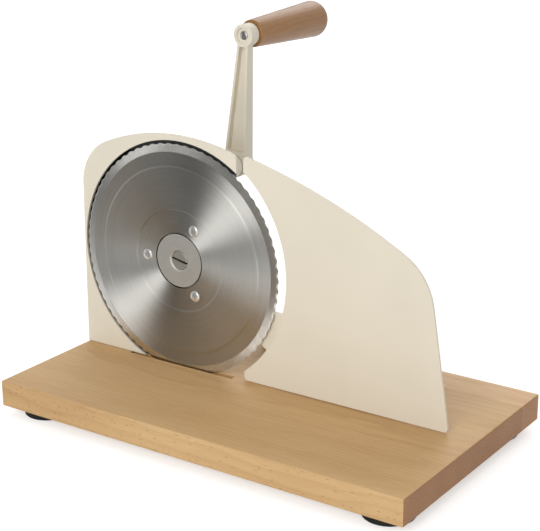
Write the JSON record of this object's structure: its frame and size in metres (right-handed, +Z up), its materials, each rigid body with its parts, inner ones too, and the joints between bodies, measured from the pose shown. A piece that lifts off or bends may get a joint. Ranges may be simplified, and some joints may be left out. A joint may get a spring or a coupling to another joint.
{
  "type": "hand crank slicer",
  "caption": "Hand-cranked kitchen slicer: a geared round blade in a cream wall on a beech board, with a sliding stop plate that sets the slice.",
  "frame": {"origin": "middle of the object's outline box, on the plane that the rubber feet stand on", "axes": "+X along the board from the blade to the stop plate, +Y from the food side to the crank side, +Z up"},
  "size_m": [0.368, 0.2894, 0.3045],
  "materials": {
    "beech_board": "oiled, glued staves",
    "beech_grip": "turned and lacquered",
    "cream_coat": "semi-gloss powder coat",
    "dark_plastic": "moulded, fine grain",
    "blade_steel": "ground round the axle",
    "bright_steel": "polished",
    "zinc_steel": "zinc plated",
    "bronze": "sintered, oiled",
    "black_rubber": "soft, matt",
    "gear_plastic": "moulded, natural"
  },
  "bodies": {
    "stand": {"base_board": "beech_board", "foot_front_left": "black_rubber", "foot_front_right": "black_rubber", "foot_rear_left": "black_rubber", "foot_rear_right": "black_rubber", "foot_screw_front_left": "zinc_steel", "foot_screw_front_right": "zinc_steel", "foot_screw_rear_left": "zinc_steel", "foot_screw_rear_right": "zinc_steel", "wall_plate": "cream_coat", "wall_nut_lower": "zinc_steel", "wall_nut_upper": "zinc_steel", "rear_housing": "dark_plastic", "housing_screw_1": "zinc_steel", "housing_screw_2": "zinc_steel", "housing_screw_3": "zinc_steel", "crank_tube": "cream_coat", "tube_screw_1": "zinc_steel", "tube_screw_2": "zinc_steel", "tube_screw_3": "zinc_steel", "blade_bush_front": "bronze", "blade_bush_rear": "bronze", "crank_bush_front": "bronze", "crank_bush_rear": "bronze", "guide_block": "cream_coat", "block_screw_left": "zinc_steel", "block_screw_right": "zinc_steel"},
    "blade": {"blade": "blade_steel", "blade_hub": "blade_steel", "blade_screw": "bright_steel", "blade_rivet_1": "bright_steel", "blade_rivet_2": "bright_steel", "blade_rivet_3": "bright_steel", "blade_gear": "gear_plastic", "blade_spindle": "zinc_steel", "spindle_clip": "zinc_steel"},
    "crank": {"crank_shaft": "zinc_steel", "pinion": "zinc_steel", "crank_nut": "zinc_steel", "crank_arm": "cream_coat", "handle_bolt": "bright_steel", "grip_washer": "zinc_steel"},
    "grip": {"handle_grip": "beech_grip", "grip_plug": "beech_grip"},
    "carriage": {"stop_plate": "cream_coat", "plate_bracket": "zinc_steel", "bracket_nut_1": "zinc_steel", "bracket_nut_2": "zinc_steel", "bracket_nut_3": "zinc_steel", "bracket_nut_4": "zinc_steel", "guide_rod_left": "bright_steel", "guide_rod_right": "bright_steel", "lead_nut": "bronze"},
    "knob": {"lead_screw": "zinc_steel", "lead_collar": "zinc_steel", "thickness_knob": "dark_plastic", "knob_screw": "zinc_steel"}
  },
  "joints": [
    {"name": "crank_turn", "type": "hinge", "parent": "stand", "child": "crank", "pos_m": [-0.0835, 0, 0.1816], "axis": [0, 1, 0], "continuous": true},
    {"name": "blade_spin", "type": "hinge", "parent": "stand", "child": "blade", "pos_m": [-0.0835, 0, 0.1196], "axis": [0, 1, 0], "continuous": true},
    {"name": "grip_spin", "type": "hinge", "parent": "crank", "child": "grip", "pos_m": [-0.07275, 0, 0.28926], "axis": [0, 1, 0], "continuous": true},
    {"name": "thickness_turn", "type": "hinge", "parent": "stand", "child": "knob", "pos_m": [0.045, 0, 0.0493], "axis": [0, 1, 0], "range_deg": [0, 300]},
    {"name": "plate_slide", "type": "slide", "parent": "stand", "child": "carriage", "axis": [0, 1, 0], "range_m": [0, 0.015]}
  ],
  "couplings": [
    {"joint": "blade_spin", "follows": "crank_turn", "ratio": -0.47619},
    {"joint": "thickness_turn", "follows": "plate_slide", "rad_per_m": 349}
  ]
}
